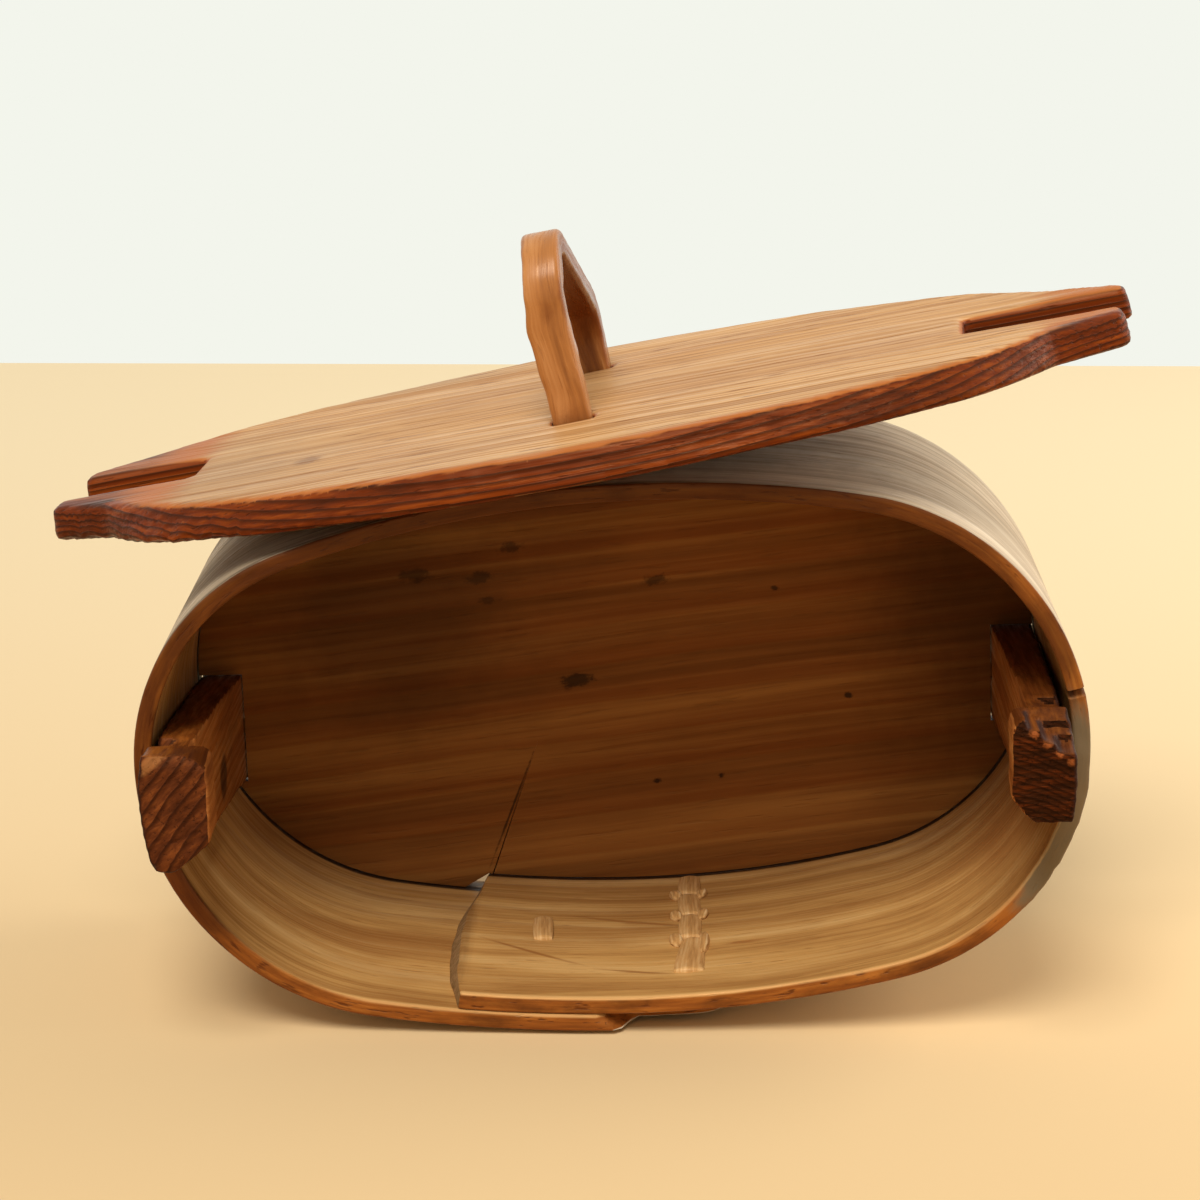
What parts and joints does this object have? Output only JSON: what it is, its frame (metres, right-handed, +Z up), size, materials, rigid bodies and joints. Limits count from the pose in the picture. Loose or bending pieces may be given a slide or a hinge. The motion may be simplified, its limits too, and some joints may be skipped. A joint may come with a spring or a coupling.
{
  "type": "bentwood lidded box",
  "caption": "Oval bentwood food box with a lapped and root-sewn side, sprung end posts and a loose slotted lid with a bow handle.",
  "frame": {"origin": "middle of the underside of the whole object's bounding box, on the surface it lies on", "axes": "+X along the box's long way, towards the raised end of the lid; +Y from the mouth to the base board; +Z up, with the box lying on its long side"},
  "size_m": [0.3162, 0.1766, 0.2271],
  "materials": {
    "band_wood": "old bent softwood, worn and oiled",
    "base_wood": "old board, worn",
    "peg_wood": "split pegs",
    "post_wood": "carved hardwood, worn",
    "root": "split root, worn",
    "lid_wood": "old board with straight grain",
    "bow_wood": "bent root, rubbed glossy"
  },
  "bodies": {
    "box": {"band": "band_wood", "base_board": "base_wood", "base_pegs": "peg_wood", "post_peg_left": "peg_wood", "post_peg_right": "peg_wood", "root_lashing": "root", "root_stitch": "root"},
    "post_left": {"post_left": "post_wood"},
    "post_right": {"post_right": "post_wood"},
    "lid": {"lid_board": "lid_wood", "bow_handle": "bow_wood", "handle_wedges": "peg_wood"}
  },
  "joints": [
    {"name": "post_left_flex", "type": "hinge", "parent": "box", "child": "post_left", "pos_m": [-0.11666, 0.05121, 0.05945], "axis": [0.0314, 0, -0.9995], "range_deg": [0, 0.45], "stiffness_Nm_per_rad": 5},
    {"name": "post_right_flex", "type": "hinge", "parent": "box", "child": "post_right", "pos_m": [0.12945, 0.05121, 0.07902], "axis": [-0.0314, 0, 0.9995], "range_deg": [0, 1.1], "stiffness_Nm_per_rad": 5},
    {"name": "lid_lift", "type": "slide", "parent": "box", "child": "lid", "axis": [0, 0, 1], "range_m": [0, 0.15]}
  ]
}
